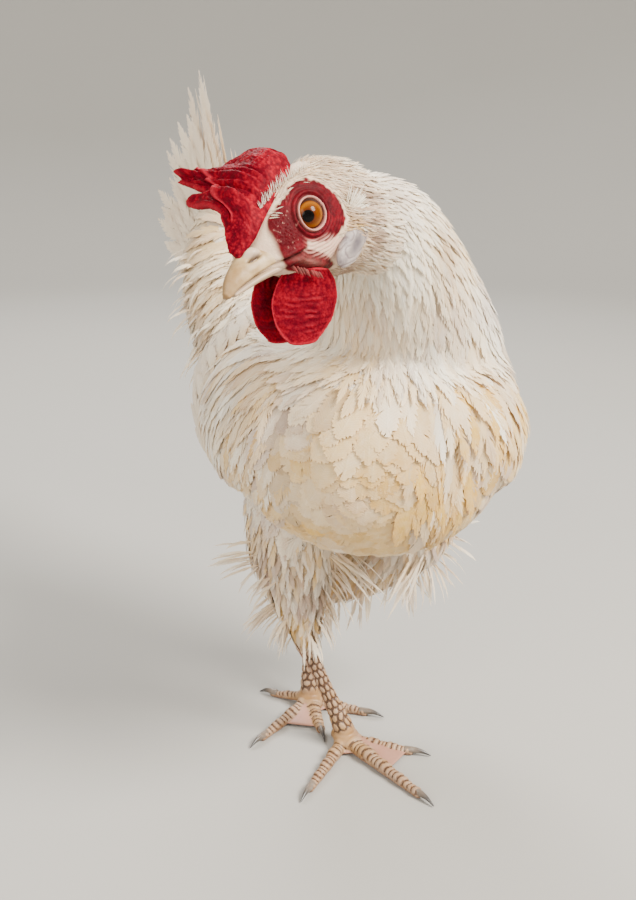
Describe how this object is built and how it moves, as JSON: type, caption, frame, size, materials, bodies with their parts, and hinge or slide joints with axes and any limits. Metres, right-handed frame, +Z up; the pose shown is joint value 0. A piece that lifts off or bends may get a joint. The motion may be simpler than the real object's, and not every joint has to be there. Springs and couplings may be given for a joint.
{
  "type": "chicken",
  "caption": "White hen walking, life size, its head turned and tilted to look up beside it; a still figure standing on its own feet",
  "frame": {"origin": "centre of the bounding box's foot, on the floor the hen stands on", "axes": "+Z up, the hen walks towards -Y, and its left side is +X"},
  "size_m": [0.2328, 0.4094, 0.4065],
  "materials": {
    "plumage": "soft layered body feathers, matte",
    "flight_feather": "smooth vaned feathers, slight sheen",
    "bare_skin": "bare grained skin, slightly moist",
    "ear_lobe": "smooth pale skin",
    "horn": "smooth horn, satin",
    "scaled_skin": "overlapping scutes, satin",
    "claw": "smooth keratin, satin",
    "eye": "wet and glossy"
  },
  "bodies": {
    "root": {"bill_lower": "horn", "bill_upper": "horn", "claw_left_hind": "claw", "claw_left_inner": "claw", "claw_left_middle": "claw", "claw_left_outer": "claw", "claw_right_hind": "claw", "claw_right_inner": "claw", "claw_right_middle": "claw", "claw_right_outer": "claw", "comb": "bare_skin", "earlobe_left": "ear_lobe", "earlobe_right": "ear_lobe", "eye_left": "eye", "eye_right": "eye", "foot_left": "scaled_skin", "foot_right": "scaled_skin", "head": "bare_skin", "neck": "plumage", "shank_left": "scaled_skin", "shank_right": "scaled_skin", "tail": "flight_feather", "thigh_left": "plumage", "thigh_right": "plumage", "toe_left_hind": "scaled_skin", "toe_left_inner": "scaled_skin", "toe_left_middle": "scaled_skin", "toe_left_outer": "scaled_skin", "toe_right_hind": "scaled_skin", "toe_right_inner": "scaled_skin", "toe_right_middle": "scaled_skin", "toe_right_outer": "scaled_skin", "torso": "plumage", "wattle_left": "bare_skin", "wattle_right": "bare_skin", "wing_left": "flight_feather", "wing_right": "flight_feather"}
  },
  "joints": []
}
